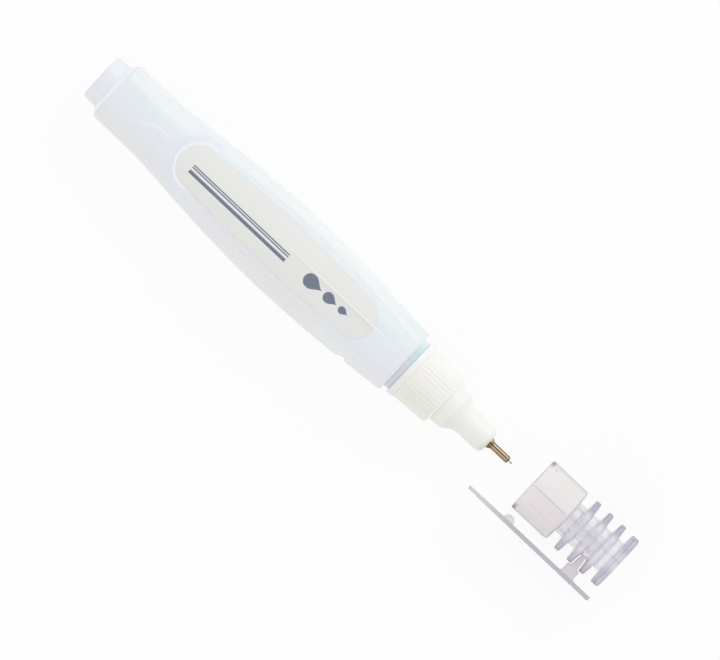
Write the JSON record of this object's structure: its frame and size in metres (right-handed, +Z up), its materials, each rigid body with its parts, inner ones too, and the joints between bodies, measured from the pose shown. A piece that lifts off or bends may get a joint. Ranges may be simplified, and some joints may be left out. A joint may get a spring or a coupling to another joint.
{
  "type": "correction pen",
  "caption": "Squeezable correction pen with a ribbed screw collar, a spring-loaded needle tip and a clear finned push-on cap with a pocket clip.",
  "frame": {"origin": "on the surface the pen lies on, under the middle of the whole object with the cap off", "axes": "+X along the pen from tail to tip and cap, +Z up out of the label panel, clip on the -Y side"},
  "size_m": [0.1642, 0.0218, 0.016],
  "materials": {
    "bottle": "satin, slightly bluish white, a little see-through",
    "label": "printed film, matt",
    "ball": "bright",
    "gasket": "soft, pale",
    "white": "satin warm white",
    "tip": "turned, nickel-brown",
    "steel": "bright wire",
    "clear": "clear, faint violet tint"
  },
  "bodies": {
    "bottle": {"bottle": "bottle", "tail_plug": "bottle", "front_label": "label"},
    "ball": {"mixing_ball": "ball"},
    "nozzle": {"nozzle": "white", "tip_housing": "tip", "spring_seat": "white", "needle_spring": "steel", "neck_gasket": "gasket"},
    "collar": {"collar": "white"},
    "needle": {"valve_needle": "steel"},
    "cap": {"cap": "clear"},
    "clip": {"pocket_clip": "clear"}
  },
  "joints": [
    {"name": "ball_slide", "type": "slide", "parent": "bottle", "child": "ball", "axis": [1, 0, 0], "range_m": [-0.0477, 0.02]},
    {"name": "nozzle_lift", "type": "slide", "parent": "bottle", "child": "nozzle", "axis": [1, 0, 0], "range_m": [0, 0.00625]},
    {"name": "collar_turn", "type": "hinge", "parent": "nozzle", "child": "collar", "pos_m": [0.01545, 0.00025, 0.008], "axis": [1, 0, 0], "range_deg": [0, 905]},
    {"name": "needle_press", "type": "slide", "parent": "nozzle", "child": "needle", "axis": [-1, 0, 0], "range_m": [0, 0.0008], "stiffness_N_per_m": 500, "springref_m": -0.001, "deforming": ["needle_spring"]},
    {"name": "cap_push", "type": "slide", "parent": "nozzle", "child": "cap", "axis": [-1, 0, 0], "range_m": [0, 0.02765]},
    {"name": "clip_flex", "type": "hinge", "parent": "cap", "child": "clip", "pos_m": [0.0746, -0.0041, 0.008], "axis": [0, 0, 1], "range_deg": [0, 4], "stiffness_Nm_per_rad": 0.3}
  ],
  "couplings": [
    {"joint": "collar_turn", "follows": "nozzle_lift", "rad_per_m": 2513.3}
  ]
}
